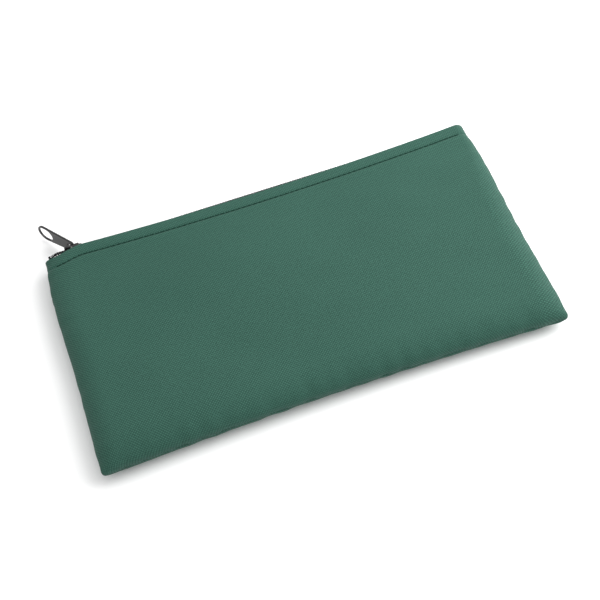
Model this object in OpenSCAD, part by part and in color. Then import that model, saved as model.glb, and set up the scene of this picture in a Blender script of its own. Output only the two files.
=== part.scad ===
// Zip-top cloth deposit bag, lying on its back panel and lightly filled.
// +X runs along the zip to the end where the zip opens to, +Y points out of the mouth, +Z is up.
// The origin is on the supporting surface, under the middle of the bag.

/* [Bag] */
// Finished width between the side seams
bag_w = 280; // [240:5:320]
// Finished height from the bottom seam to the lips
bag_h = 152; // [130:2:180]
// Height of the side and bottom seams above the surface
seam_h = 8.5; // [7:0.5:10]
// How far the side walls roll before the panels lie flat
side_roll = 15; // [12:1:18]
// How far the bottom rolls before the panels lie flat
bottom_roll = 17; // [12:1:22]
// How much the middle of the bottom seam is drawn in
bottom_pull = 3.5; // [0:0.5:6]
// How much the sides swell below the mouth
side_swell = 1.5; // [0:0.5:3]
// How much each end of the mouth is drawn in
corner_pull = 0.8; // [0.5:0.1:4]
// How far the lips' ends reach past their middle, away from the bottom seam
lip_bow = 4.6; // [0:0.2:5]
// How far the lips are drawn back past the closed end of the zip
end_back = 3.5; // [0:0.5:4]
// Height of the front panel's flat part
body_top = 18.6; // [18:0.2:19.6]
// Roll of the mouth's end beside the closed slider
mouth_roll_left = 18; // [12:1:20]
// Roll of the mouth's other end
mouth_roll_right = 7; // [6.5:0.5:12]
// Radius of the two bottom corners, seen from above
corner_r = 3.5; // [3:0.5:6]
// Extra height at the middle of the front panel
crown_h = 0.5; // [0:0.1:1.5]

/* [Cloth] */
// Thickness of the coated cloth
cloth_t = 0.5; // [0.4:0.05:0.6]
// Depth of the hem turned in at each lip
hem_d = 13; // [11:1:16]
// Distance from each lip to its topstitch
topstitch_d = 8; // [6:0.5:9]
// Length of one stitch with its gap
stitch_pitch = 3.5; // [2.5:0.5:4]
// Thickness of the sewing thread
thread_d = 0.4; // [0.3:0.05:0.5]
// Width of the seam allowance inside the bag
allowance = 8; // [6:1:10]

/* [Zip] */
// Height of the middle of the zip above the surface
zip_z = 10.5; // [10.5:0.1:11.5]
// Half of the mouth's thickness, from the middle of the zip to the outside of a lip
lip_half = 6.8; // [6.6:0.1:7.4]
// How far the zip faces down
zip_tilt = 0; // [-4:1:6]
// Distance from one tooth to the next on one coil
tooth_pitch = 1.6; // [1.5:0.1:2]
// Half of the closed chain's width
chain_half = 3; // [3:0.1:3.1]
// Thickness of the woven tape
tape_t = 0.6; // [0.4:0.1:0.6]
// Where the slider rests, closed, along the zip
slider_x = -120; // [-122:1:-110]

/* [Pull tab] */
// Length from the pivot to the tip
tab_l = 31; // [26:1:34]
// Width at the eye end
tab_w = 11.6; // [9.6:0.2:12]
// Thickness
tab_t = 1.3; // [1:0.1:1.4]
// Lean of the tab at rest, from the line of the zip past its closed end
tab_angle = 54; // [10:1:90]
// Sideways play of the tab on its bridge, taken up at rest
tab_skew = 8; // [0:1:8]

/* [Hidden] */

FRONT = 1;
BACK = -1;
LEFT = -1;
RIGHT = 1;

cloth_colour = [0.19, 0.38, 0.31];
thread_colour = [0.08, 0.22, 0.17];
zip_colour = [0.06, 0.06, 0.06];
metal_colour = [0.13, 0.13, 0.14];

// The mouth
middle_drop = 0.4;
mouth_y = bag_h / 2 - middle_drop - lip_half * abs(sin(zip_tilt));
mouth_zone = 16;
layer_gap = 0.06;
fold_r = cloth_t + layer_gap / 2;
hem_depth = 2 * fold_r;

// The chain, measured in the zip's own frame: x along it, y out of the bag, z across it
zip_proud = 2.8;
zip_y = mouth_y + zip_proud;
chain_end = bag_w / 2 - 4;
coil_bottom = -0.95;
coil_top = 1.3;
coil_wire = 0.62;
leg_h = 0.62;
head_reach = 0.6;
core_r = 0.38;
core_z = 2;
tape_mid_y = coil_bottom - 0.05 - tape_t / 2;
tape_edge = 1.9;
tape_reach = 12;
part_gap = 1.75;
part_run = 4.5;
merge_run = 6;

// The slider, along the zip from slider_x
wing_t = 1.2;
wing_top_y = 1.75;
wing_bottom_y = -2.2;
shoulder_l = 5.8;
tail_l = 5.8;
shoulder_half = 5.2;
tail_half = 4.2;
diamond_half = 1.05;
crown_half_l = 3.6;
crown_t = 0.8;
crown_w = 2.2;
crown_h_top = 3.7;
wing_face_y = wing_top_y + wing_t;
pivot_y = wing_face_y + 1.75;
bar_r = 0.75;
window_l = 4.7;
window_half = 1.6;
tab_root_w = 8.6;
eye_l = 11.2;
eye_rim = 1.2;

fine = 48;
coarse = 20;

function lerp(a, b, t) = a + (b - a) * t;
function clamp01(t) = min(max(t, 0), 1);
function smooth(t) = let (c = clamp01(t)) c * c * (3 - 2 * c);
function side_of(v) = v < 0 ? -1 : 1;

// ---- The outside of the bag, and shells nested inside it ----

// Height of the seam line between the two panels
function seam_z(y) = lerp(seam_h, zip_z, smooth((y - 10) / (mouth_y - 10)));

// Half-width of the bag at a height up the bag
function side_x(y) =
    let (
        swell = side_swell * pow(cos(90 * min(abs(y - 42) / 60, 1)), 2),
        pull = corner_pull * smooth((y - 52) / (mouth_y - 52)),
        into_corner = corner_r - min(max(y + bag_h / 2, 0), corner_r)
    )
    bag_w / 2 + swell - pull - corner_r + sqrt(corner_r * corner_r - into_corner * into_corner);

// How far the bottom seam is drawn in, at a place across the bag
function bottom_bow(x) = bottom_pull * max(0, 1 - pow(2 * x / bag_w, 2));

// Height of the front panel's flat part, and of the back panel's
lip_top = zip_z + lip_half * cos(zip_tilt);
function front_z(x, y) =
    lerp(body_top, lip_top, smooth((y - 25) / (mouth_y - 32)))
    + crown_h * pow(cos(90 * min(abs(2 * x / bag_w), 1)), 2) * pow(cos(90 * min(abs(2 * y / bag_h), 1)), 2);
function back_z(y) =
    (zip_z - lip_half * cos(zip_tilt)) * smooth((y - 30) / (mouth_y - 42));

// Height of a panel above or below the seam line, where it is flat
function panel_rise(face, x, y) = face == FRONT ? front_z(x, y) - seam_z(y) : seam_z(y) - back_z(y);

// Radius of the roll at a side, which changes towards the mouth
function mouth_roll(side) = side == LEFT ? mouth_roll_left : mouth_roll_right;
function roll_at(side, y) = lerp(side_roll, mouth_roll(side), smooth((y - 15) / (mouth_y - 20)));

// How far each lip stands out, at a place along it and for its share of the mouth's thickness there
function lip_y(face, x, share) =
    mouth_y + face * share * lip_half * sin(zip_tilt)
    + lip_bow * pow(2 * x / bag_w, 2)
    - end_back * smooth((slider_x + 6 - x) / 18);

// A column across the panel is [share of the flat width, angle round the side roll]
function panel_x(column, y, depth) =
    let (roll = roll_at(side_of(column[0]), y))
    column[0] * (side_x(y) - roll)
    + side_of(column[0]) * (roll - depth) * cos(column[1]);

// A row up the panel is [share of the way to the lip, offset, depth, angle round the bottom roll]
function panel_point(face, column, row) =
    let (
        share = sin(column[1]),
        bottom_shift = row[2] * cos(row[3]),
        lip = lip_y(face, panel_x(column, mouth_y, row[2]), share),
        y_flat = lerp(-bag_h / 2, lip, row[0]) + row[1] + bottom_shift,
        x = panel_x(column, y_flat - bottom_shift, row[2]),
        y = y_flat + bottom_bow(x) * (1 - smooth((y_flat + bag_h / 2) / bag_h)),
        rise = (panel_rise(face, x, y) - row[2]) * share * sin(row[3])
    )
    [x, y, seam_z(y) + face * rise];

// Height of a nested shell near the mouth, at any place along the zip
function mouth_shell_z(face, x, y, depth) =
    let (
        roll = roll_at(side_of(x), y),
        along = clamp01((abs(x) - side_x(y) + roll) / (roll - depth)),
        share = sqrt(1 - along * along)
    )
    seam_z(y) + face * (panel_rise(face, x, y) - depth) * share;

function mouth_share(x) =
    let (
        roll = mouth_roll(side_of(x)),
        along = clamp01((abs(x) - side_x(mouth_y) + roll) / roll)
    )
    sqrt(1 - along * along);

roll_steps = 6;
flat_columns = 12;
columns = concat(
    [for (i = [0 : roll_steps]) [-1, 90 * i / roll_steps]],
    [for (i = [1 : flat_columns - 1]) [2 * i / flat_columns - 1, 90]],
    [for (i = [roll_steps : -1 : 0]) [1, 90 * i / roll_steps]]
);

flat_rows = 9;
fold_steps = 4;
mouth_offsets = [-mouth_zone, -12, -topstitch_d, -4, -fold_r];
fold_angles = [for (i = [1 : fold_steps - 1]) 90 - 180 * i / fold_steps];
hem_offsets = [-fold_r, -4, -topstitch_d, -hem_d];

// Rows of one surface of the panel: the bottom roll, the flat, the lip, the fold and the hem
function panel_rows(depth, radius) = concat(
    [for (i = [0 : roll_steps]) let (a = 90 * i / roll_steps) [0, bottom_roll * (1 - cos(a)), depth, a]],
    [for (i = [1 : flat_rows - 1]) let (q = i / flat_rows) [q, lerp(bottom_roll, -mouth_zone, q), depth, 90]],
    [for (offset = mouth_offsets) [1, offset, depth, 90]],
    [for (a = fold_angles) [1, -fold_r + radius * cos(a), fold_r - radius * sin(a), 90]],
    [for (offset = hem_offsets) [1, offset, fold_r + radius, 90]]
);

// A closed solid between two grids of points that have the same number of rows and columns
module sheet_solid(outer, inner, flip) {
    rows = len(outer);
    cols = len(outer[0]);
    size = rows * cols;
    points = concat([for (row = outer) each row], [for (row = inner) each row]);
    function at(r, c) = r * cols + c;
    quads = concat(
        [for (r = [0 : rows - 2]) for (c = [0 : cols - 2])
            [at(r, c), at(r + 1, c), at(r + 1, c + 1), at(r, c + 1)]],
        [for (r = [0 : rows - 2]) for (c = [0 : cols - 2])
            [size + at(r, c), size + at(r, c + 1), size + at(r + 1, c + 1), size + at(r + 1, c)]],
        [for (c = [0 : cols - 2]) [at(0, c), at(0, c + 1), size + at(0, c + 1), size + at(0, c)]],
        [for (c = [0 : cols - 2])
            [at(rows - 1, c + 1), at(rows - 1, c), size + at(rows - 1, c), size + at(rows - 1, c + 1)]],
        [for (r = [0 : rows - 2]) [at(r + 1, 0), at(r, 0), size + at(r, 0), size + at(r + 1, 0)]],
        [for (r = [0 : rows - 2])
            [at(r, cols - 1), at(r + 1, cols - 1), size + at(r + 1, cols - 1), size + at(r, cols - 1)]]
    );
    halves = [for (q = quads) each [[q[0], q[1], q[2]], [q[0], q[2], q[3]]]];
    polyhedron(points, flip ? [for (f = halves) [f[2], f[1], f[0]]] : halves, convexity = 10);
}

// ---- Panels ----

flange_gap = 0.03;
flange_root = 0.25;
flange_bottom = -bag_h / 2 + allowance + 4;
flange_top = mouth_y - 20;
flange_steps = 24;

// Sweeps the space between two paths along a side seam. A path point is [distance in, height above the seam]
module along_side(side, face, outer, inner) {
    ys = [for (i = [0 : flange_steps]) lerp(flange_bottom, flange_top, i / flange_steps)];
    function grid(path) = [for (y = ys) [for (p = path) [side * (side_x(y) - p[0]), y, seam_z(y) + face * p[1]]]];
    sheet_solid(grid(outer), grid(inner), (side == LEFT) == (face == FRONT));
}

// Sweeps the space between two paths along the bottom seam
module along_bottom(face, outer, inner) {
    half = bag_w / 2 - corner_r - 1;
    xs = [for (i = [0 : flange_steps]) lerp(-half, half, i / flange_steps)];
    function grid(path) = [for (x = xs) [for (p = path) [x, -bag_h / 2 + bottom_bow(x) + p[0], seam_h + face * p[1]]]];
    sheet_solid(grid(outer), grid(inner), face == BACK);
}

module panel(face) {
    outer_rows = panel_rows(0, fold_r);
    inner_rows = panel_rows(cloth_t, layer_gap / 2);
    outer = [for (row = outer_rows) [for (column = columns) panel_point(face, column, row)]];
    inner = [for (row = inner_rows) [for (column = columns) panel_point(face, column, row)]];
    // The allowance, turned inside, lies flat against the other panel's
    allowance_face = [[flange_root, cloth_t], [allowance, cloth_t]];
    allowance_joint = [[flange_root, flange_gap], [allowance, flange_gap]];
    color(cloth_colour) {
        sheet_solid(outer, inner, face == FRONT);
        along_side(LEFT, face, allowance_face, allowance_joint);
        along_side(RIGHT, face, allowance_face, allowance_joint);
        along_bottom(face, allowance_face, allowance_joint);
    }
}

module front_panel() {
    panel(FRONT);
}

module back_panel() {
    panel(BACK);
}

// ---- Zip ----

// From the zip's own frame to the bag's
module zip_frame() {
    translate([0, zip_y, zip_z]) rotate([-zip_tilt, 0, 0]) children();
}

function zip_point(x, y, z) = [
    x,
    zip_y + y * cos(zip_tilt) + z * sin(zip_tilt),
    zip_z - y * sin(zip_tilt) + z * cos(zip_tilt)
];

// How far each half of the chain is parted beside the slider's diamond
function parting(x) =
    part_gap * smooth((slider_x + 1 - x) / part_run) * smooth((x + chain_end) / merge_run);

// Places along the chain where its line bends, and its two ends
bend_steps = 14;
bend_x = concat(
    [for (i = [0 : bend_steps]) lerp(-chain_end, slider_x + 1, i / bend_steps)],
    [for (i = [3 : -1 : 0]) chain_end - 4 * i]
);

// Offsets one point of an open line in the Y-Z plane to its side
function line_side(p, i, w) =
    let (
        n = len(p),
        before = i == 0 ? p[1] - p[0] : p[i] - p[i - 1],
        after = i == n - 1 ? p[i] - p[i - 1] : p[i + 1] - p[i],
        a = before / norm(before),
        b = after / norm(after),
        along = (a + b) / norm(a + b),
        across = [0, -along[2], along[1]],
        mitre = w / max(0.5, a * along)
    )
    p[i] + across * mitre;

// The tape stands straight up beside the slider, from this far past it
tape_stand = 10;
tape_stand_run = 4;

module tape(face) {
    tape_depth = hem_depth + layer_gap + tape_t / 2;
    bend = 1.6;
    lines = [for (x = bend_x)
        let (
            y_lip = lip_y(face, x, mouth_share(x)),
            level = mouth_shell_z(face, x, y_lip - 3, tape_depth),
            reach_z = mouth_shell_z(face, x, y_lip - tape_reach, tape_depth),
            top = abs(level - zip_z) / cos(zip_tilt),
            edge = zip_point(x, tape_mid_y, face * (tape_edge + parting(x))),
            corner = zip_point(x, tape_mid_y, face * max(top - bend, tape_edge + parting(x) + 0.4)),
            straight_y = corner[1] - 0.9,
            beside = smooth((x - slider_x + tape_stand) / tape_stand_run),
            turn_y = lerp(min(straight_y, y_lip - 3), straight_y, beside)
        )
        [edge, corner, [x, turn_y, level], [x, y_lip - 7, mouth_shell_z(face, x, y_lip - 7, tape_depth)],
            [x, y_lip - tape_reach, reach_z]]
    ];
    outer = [for (line = lines) [for (i = [0 : len(line) - 1]) line_side(line, i, tape_t / 2)]];
    inner = [for (line = lines) [for (i = [0 : len(line) - 1]) line_side(line, i, -tape_t / 2)]];
    color(zip_colour) sheet_solid(outer, inner, true);
}

module zip_tape_front() {
    tape(FRONT);
}

module zip_tape_back() {
    tape(BACK);
}

tooth_count = floor((2 * chain_end - 1) / tooth_pitch) - 1;

function tooth_x(face, i) =
    (i - (tooth_count - 1) / 2) * tooth_pitch + (face == FRONT ? tooth_pitch / 4 : -tooth_pitch / 4);

// Outline of one coil seen from outside the bag: a back edge with a leg at each turn
module coil_outline(face) {
    root = chain_half - coil_wire;
    first = tooth_x(face, 0) - coil_wire / 2;
    last = tooth_x(face, tooth_count - 1) + coil_wire / 2;
    back = concat(
        [for (i = [0 : bend_steps]) lerp(first, slider_x + 1, i / bend_steps)],
        [last]
    );
    polygon(concat(
        [for (x = back) [x, face * (chain_half + parting(x))]],
        [for (i = [tooth_count - 1 : -1 : 0]) each
            let (x = tooth_x(face, i), p = parting(x), w = coil_wire / 2)
            [[x + w, face * (root + p)], [x + w, face * (p - head_reach)],
                [x - w, face * (p - head_reach)], [x - w, face * (root + p)]]]
    ));
}

// The line of bends that joins the coil's upper and lower legs
module coil_back_outline(face) {
    root = chain_half - coil_wire;
    first = tooth_x(face, 0) - coil_wire / 2;
    last = tooth_x(face, tooth_count - 1) + coil_wire / 2;
    xs = concat([for (i = [0 : bend_steps]) lerp(first, slider_x + 1, i / bend_steps)], [last]);
    polygon(concat(
        [for (x = xs) [x, face * (chain_half + parting(x))]],
        [for (i = [len(xs) - 1 : -1 : 0]) [xs[i], face * (root + parting(xs[i]))]]
    ));
}

module coil(face) {
    color(zip_colour) zip_frame() {
        translate([0, coil_bottom + leg_h, 0]) rotate([90, 0, 0]) linear_extrude(leg_h) coil_outline(face);
        translate([0, coil_top, 0]) rotate([90, 0, 0]) linear_extrude(leg_h) coil_outline(face);
        translate([0, coil_top - leg_h, 0]) rotate([90, 0, 0])
            linear_extrude(coil_top - coil_bottom - 2 * leg_h) coil_back_outline(face);
    }
}

module coil_front() {
    coil(FRONT);
}

module coil_back() {
    coil(BACK);
}

// A bar of polygonal section that follows one half of the chain
module chain_bar(face, y, z, half_y, half_z, sides) {
    n = len(bend_x);
    half = chain_end - 0.8;
    points = [for (b = bend_x) for (k = [0 : sides - 1])
        let (x = min(max(b, -half), half), a = 360 * k / sides + 180 / sides)
        zip_point(x, y + half_y * cos(a), face * (z + parting(x)) + half_z * sin(a))];
    walls = [for (r = [0 : n - 2]) for (k = [0 : sides - 1])
        let (next = (k + 1) % sides)
        [r * sides + k, r * sides + next, (r + 1) * sides + next, (r + 1) * sides + k]];
    ends = [[for (k = [sides - 1 : -1 : 0]) k], [for (k = [0 : sides - 1]) (n - 1) * sides + k]];
    color(zip_colour) polyhedron(points, concat(walls, ends), convexity = 4);
}

core_y = (coil_bottom + coil_top) / 2;

module core_cord_front() {
    chain_bar(FRONT, core_y, core_z, core_r, core_r, 8);
}

module core_cord_back() {
    chain_bar(BACK, core_y, core_z, core_r, core_r, 8);
}

// The row of thread that lies over the coil's upper legs
module coil_stitch_front() {
    chain_bar(FRONT, coil_top + 0.15, core_z, 0.14, 0.3, 4);
}

module coil_stitch_back() {
    chain_bar(BACK, coil_top + 0.15, core_z, 0.14, 0.3, 4);
}

module zip_tack(side) {
    tack_l = 1.2;
    x0 = side * (chain_end - 0.15) - tack_l / 2;
    color(zip_colour) zip_frame()
        translate([x0, coil_bottom, -chain_half]) cube([tack_l, coil_top - coil_bottom, 2 * chain_half]);
}

module zip_tack_left() {
    zip_tack(LEFT);
}

module zip_tack_right() {
    zip_tack(RIGHT);
}

// ---- Slider, in the zip's frame with its own x from slider_x ----

// Outline of a wing: wide at the shoulder, which faces the parted chain, narrow at the tail
module wing_outline(inset) {
    hull() {
        for (side = [-1, 1]) {
            translate([-shoulder_l + 2, side * (shoulder_half - 2 - inset)]) circle(r = 2 - inset, $fn = coarse);
            translate([tail_l - 1.5, side * (tail_half - 1.5 - inset)]) circle(r = 1.5 - inset, $fn = coarse);
        }
    }
}

// One side wall of the upper wing: it flares round the parted coils at the shoulder
module flange_outline(side) {
    wall = 0.9;
    inner_tail = chain_half + 0.25;
    polygon([
        [tail_l - 0.8, side * inner_tail], [0.8, side * inner_tail], [-1.4, side * (shoulder_half - wall)],
        [-1.4, side * shoulder_half], [0.8, side * (inner_tail + wall)], [tail_l - 0.8, side * (inner_tail + wall)]
    ]);
}

// Places a shape drawn in X-Z as a plate between two distances out of the bag
module plate(y0, y1) {
    translate([0, y1, 0]) rotate([90, 0, 0]) linear_extrude(y1 - y0) children();
}

module slider_body() {
    flange_drop = 2.45;
    color(metal_colour) zip_frame() translate([slider_x, 0, 0]) {
        plate(wing_top_y, wing_face_y) wing_outline(0);
        plate(wing_bottom_y - wing_t, wing_bottom_y) wing_outline(0.3);
        plate(wing_bottom_y - 0.1, wing_top_y + 0.1)
            polygon([[-5.6, 0], [-3.5, diamond_half], [-1.4, 0], [-3.5, -diamond_half]]);
        plate(wing_top_y - flange_drop, wing_top_y + 0.1) {
            flange_outline(1);
            flange_outline(-1);
        }
    }
}

module slider_crown() {
    color(metal_colour) zip_frame() translate([slider_x, 0, 0])
        translate([0, 0, -crown_w / 2]) linear_extrude(crown_w) difference() {
            translate([-crown_half_l, wing_face_y]) square([2 * crown_half_l, crown_h_top]);
            translate([-crown_half_l + crown_t, wing_face_y - 1])
                square([2 * (crown_half_l - crown_t), crown_h_top + 1 - crown_t]);
        }
}

// ---- Pull tab, drawn along +X from its pivot, across Z ----

module tab_outline() {
    tip_r = tab_w / 2;
    hull() {
        translate([tab_l - tip_r, 0]) circle(r = tip_r, $fn = fine);
        translate([0.4, -tab_root_w / 2 + 1]) circle(r = 1, $fn = coarse);
        translate([0.4, tab_root_w / 2 - 1]) circle(r = 1, $fn = coarse);
    }
}

module pull_tab() {
    tip_r = tab_w / 2;
    eye_r = tip_r - eye_rim;
    eye_shift = eye_l - 2 * eye_r;
    color(metal_colour) zip_frame() translate([slider_x, pivot_y, 0]) rotate([-tab_skew, 0, 0]) rotate([0, 0, 180 - tab_angle]) {
        translate([0, tab_t / 2, 0]) rotate([90, 0, 0]) linear_extrude(tab_t) difference() {
            tab_outline();
            translate([bar_r, -window_half]) square([window_l - bar_r, 2 * window_half]);
            translate([tab_l - tip_r, 0]) circle(r = eye_r, $fn = fine);
            translate([tab_l - tip_r - eye_shift, 0]) circle(r = eye_r, $fn = fine);
            translate([tab_l - tip_r - eye_shift, -eye_r]) square([eye_shift, 2 * eye_r]);
            translate([-bar_r - 1, -tab_root_w]) square([1 + bar_r - tab_t / 2, 2 * tab_root_w]);
        }
        translate([0, 0, -window_half - 0.4]) cylinder(r = bar_r, h = 2 * window_half + 0.8, $fn = coarse);
    }
}

// ---- Threads ----

// One stitch: a short round thread along X
module stitch(length) {
    rotate([0, 90, 0]) cylinder(d = thread_d, h = length, center = true, $fn = coarse);
}

module topstitch(face) {
    half = side_x(mouth_y) - 6;
    count = floor(2 * half / stitch_pitch);
    y_of = function (x) lip_y(face, x, mouth_share(x)) - topstitch_d;
    z_of = function (x) mouth_shell_z(face, x, y_of(x), -thread_d / 2 - 0.05);
    color(thread_colour) for (i = [0 : count - 1]) {
        x = (i - (count - 1) / 2) * stitch_pitch;
        slope = atan2(z_of(x + 1) - z_of(x - 1), 2);
        translate([x, y_of(x), z_of(x)]) rotate([0, -slope, 0]) stitch(stitch_pitch * 0.72);
    }
}

module topstitch_front() {
    topstitch(FRONT);
}

module topstitch_back() {
    topstitch(BACK);
}

// Lockstitch through both allowances, seen on both of their faces
seam_thread_inset = 1.8;
seam_thread_rise = cloth_t + thread_d / 2 + 0.06;

module side_seam(side) {
    start = flange_bottom;
    count = floor((flange_top - start) / stitch_pitch);
    color(thread_colour) for (i = [0 : count - 1]) for (face = [FRONT, BACK]) {
        y = start + (i + 0.5) * stitch_pitch;
        slope = atan2(seam_z(y + 1) - seam_z(y - 1), 2);
        translate([side * (side_x(y) - seam_thread_inset), y, seam_z(y) + face * seam_thread_rise])
            rotate([slope, 0, 0]) rotate([0, 0, 90]) stitch(stitch_pitch * 0.72);
    }
}

module side_seam_left() {
    side_seam(LEFT);
}

module side_seam_right() {
    side_seam(RIGHT);
}

module bottom_seam() {
    half = bag_w / 2 - corner_r - 2;
    count = floor(2 * half / stitch_pitch);
    color(thread_colour) for (i = [0 : count - 1]) for (face = [FRONT, BACK]) {
        x = (i - (count - 1) / 2) * stitch_pitch;
        translate([x, -bag_h / 2 + bottom_bow(x) + seam_thread_inset, seam_h + face * seam_thread_rise])
            stitch(stitch_pitch * 0.72);
    }
}

// The overlock thread wraps the raw edge of both allowances
overlock_near = cloth_t + 0.04;
overlock_far = overlock_near + 0.3;
overlock_start = allowance - 3;
overlock_end = allowance + 0.05;
overlock_outer = [
    [overlock_start, overlock_far], [overlock_end + 0.3, overlock_far],
    [overlock_end + 0.3, -overlock_far], [overlock_start, -overlock_far]
];
overlock_inner = [
    [overlock_start, overlock_near], [overlock_end, overlock_near],
    [overlock_end, -overlock_near], [overlock_start, -overlock_near]
];

module overlock_left() {
    color(thread_colour) along_side(LEFT, FRONT, overlock_outer, overlock_inner);
}

module overlock_right() {
    color(thread_colour) along_side(RIGHT, FRONT, overlock_outer, overlock_inner);
}

module overlock_bottom() {
    color(thread_colour) along_bottom(FRONT, overlock_outer, overlock_inner);
}

front_panel();
back_panel();
zip_tape_front();
zip_tape_back();
coil_front();
coil_back();
core_cord_front();
core_cord_back();
coil_stitch_front();
coil_stitch_back();
slider_body();
slider_crown();
pull_tab();
topstitch_front();
topstitch_back();
side_seam_left();
side_seam_right();
bottom_seam();
overlock_left();
overlock_right();
overlock_bottom();
zip_tack_left();
zip_tack_right();
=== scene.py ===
"""Cash deposit bag: cloth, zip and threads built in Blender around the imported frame.

Shapes are worked out in millimetres, from the same driving dimensions as part.scad.
They are put in metres when a mesh is made.
"""
import math

import bmesh
import bpy
import numpy as np
from mathutils import Matrix, Vector


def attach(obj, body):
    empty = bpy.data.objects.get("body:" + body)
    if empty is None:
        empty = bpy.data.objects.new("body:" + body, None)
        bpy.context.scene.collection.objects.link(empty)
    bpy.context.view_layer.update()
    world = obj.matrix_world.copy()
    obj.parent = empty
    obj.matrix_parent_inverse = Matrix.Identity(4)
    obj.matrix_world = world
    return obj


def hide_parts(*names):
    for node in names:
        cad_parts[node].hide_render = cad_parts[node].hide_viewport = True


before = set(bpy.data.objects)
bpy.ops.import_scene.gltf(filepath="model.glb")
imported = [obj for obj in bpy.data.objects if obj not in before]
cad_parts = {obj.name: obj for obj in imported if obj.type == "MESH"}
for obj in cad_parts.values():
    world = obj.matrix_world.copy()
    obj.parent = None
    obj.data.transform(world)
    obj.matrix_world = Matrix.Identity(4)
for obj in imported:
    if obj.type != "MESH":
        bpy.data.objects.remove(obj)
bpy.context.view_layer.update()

MM = 0.001
FRONT = 1
BACK = -1
LEFT = -1
RIGHT = 1

# ---- Driving dimensions, as in part.scad ----

BAG_W = 280.0
BAG_H = 152.0
SEAM_H = 8.5
SIDE_ROLL = 15.0
MOUTH_ROLL_LEFT = 18.0
MOUTH_ROLL_RIGHT = 7.0
BODY_TOP = 18.6
LIP_BOW = 4.6
END_BACK = 3.5
BOTTOM_ROLL = 17.0
BOTTOM_PULL = 3.5
SIDE_SWELL = 1.5
CORNER_PULL = 0.8
CORNER_R = 3.5
CROWN_H = 0.5
CLOTH_T = 0.5
HEM_D = 13.0
TOPSTITCH_D = 8.0
THREAD_D = 0.4
ALLOWANCE = 8.0
ZIP_Z = 10.5
LIP_HALF = 6.8
ZIP_TILT = 0.0
TOOTH_PITCH = 1.6
CHAIN_HALF = 3.0
TAPE_T = 0.6
SLIDER_X = -120.0
TAB_L = 31.0
TAB_W = 11.6
TAB_T = 1.3
TAB_ANGLE = math.radians(54)
TAB_SKEW = math.radians(8)

MIDDLE_DROP = 0.4
MOUTH_Y = BAG_H / 2 - MIDDLE_DROP - LIP_HALF * abs(math.sin(ZIP_TILT))
LIP_TOP = ZIP_Z + LIP_HALF * math.cos(ZIP_TILT)
LAYER_GAP = 0.06
FOLD_R = CLOTH_T + LAYER_GAP / 2
HEM_DEPTH = 2 * FOLD_R
ZIP_PROUD = 2.8
ZIP_Y = MOUTH_Y + ZIP_PROUD
CHAIN_END = BAG_W / 2 - 4
COIL_BOTTOM = -0.95
COIL_TOP = 1.3
COIL_WIRE = 0.62
HEAD_REACH = 0.6
CORE_Z = 2.0
CORE_R = 0.38
TAPE_EDGE = 1.9
TAPE_REACH = 12.0
PART_GAP = 1.75
PART_RUN = 4.5
MERGE_RUN = 6.0
WING_FACE_Y = 2.95
PIVOT_Y = WING_FACE_Y + 1.75
BAR_R = 0.75
WINDOW_L = 4.7
WINDOW_HALF = 1.6
TAB_ROOT_W = 8.6
EYE_L = 11.2
EYE_RIM = 1.2
FLANGE_GAP = 0.03
FLANGE_TOP = MOUTH_Y - 20
FLANGE_BOTTOM = -BAG_H / 2 + ALLOWANCE + 4


# ---- Small maths ----

def smooth(t):
    t = np.clip(t, 0, 1)
    return t * t * (3 - 2 * t)


def lerp(a, b, t):
    return a + (b - a) * t


def bell(t):
    """1 at t = 0, falling to nearly nothing at 2."""
    return np.exp(-np.square(t))


def ripples(x, y, wavelength, count, seed):
    """Gentle uneven waves, about -1 to 1, from a few plane waves at random angles."""
    draw = np.random.default_rng(seed)
    total = np.zeros(np.broadcast(x, y).shape)
    for _ in range(count):
        turn = draw.uniform(0, 2 * math.pi)
        size = 2 * math.pi / (wavelength * draw.uniform(0.7, 1.5))
        along = x * math.cos(turn) + y * math.sin(turn)
        total = total + np.sin(size * along + draw.uniform(0, 2 * math.pi))
    return total / math.sqrt(2 * count)


# ---- The outside of the bag ----

def seam_z(y):
    return lerp(SEAM_H, ZIP_Z, smooth((y - 10) / (MOUTH_Y - 10)))


def side_x(y):
    swell = SIDE_SWELL * np.cos(math.pi / 2 * np.minimum(np.abs(y - 42) / 60, 1)) ** 2
    pull = CORNER_PULL * smooth((y - 52) / (MOUTH_Y - 52))
    into_corner = CORNER_R - np.clip(y + BAG_H / 2, 0, CORNER_R)
    return BAG_W / 2 + swell - pull - CORNER_R + np.sqrt(CORNER_R ** 2 - into_corner ** 2)


def bottom_bow(x):
    return BOTTOM_PULL * np.maximum(0, 1 - (2 * x / BAG_W) ** 2)


def front_z(x, y):
    across = np.cos(math.pi / 2 * np.minimum(np.abs(2 * x / BAG_W), 1)) ** 2
    along = np.cos(math.pi / 2 * np.minimum(np.abs(2 * y / BAG_H), 1)) ** 2
    return lerp(BODY_TOP, LIP_TOP, smooth((y - 25) / (MOUTH_Y - 32))) + CROWN_H * across * along


def back_z(y):
    return (ZIP_Z - LIP_HALF * math.cos(ZIP_TILT)) * smooth((y - 30) / (MOUTH_Y - 42))


def mouth_roll(x):
    return np.where(x < 0, MOUTH_ROLL_LEFT, MOUTH_ROLL_RIGHT)


def roll_at(x, y):
    return lerp(SIDE_ROLL, mouth_roll(x), smooth((y - 15) / (MOUTH_Y - 20)))


def panel_rise(face, x, y):
    return front_z(x, y) - seam_z(y) if face == FRONT else seam_z(y) - back_z(y)


def lip_y(face, x, share):
    bow = LIP_BOW * (2 * x / BAG_W) ** 2
    back = END_BACK * smooth((SLIDER_X + 6 - x) / 18)
    return MOUTH_Y + face * share * LIP_HALF * math.sin(ZIP_TILT) + bow - back


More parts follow.
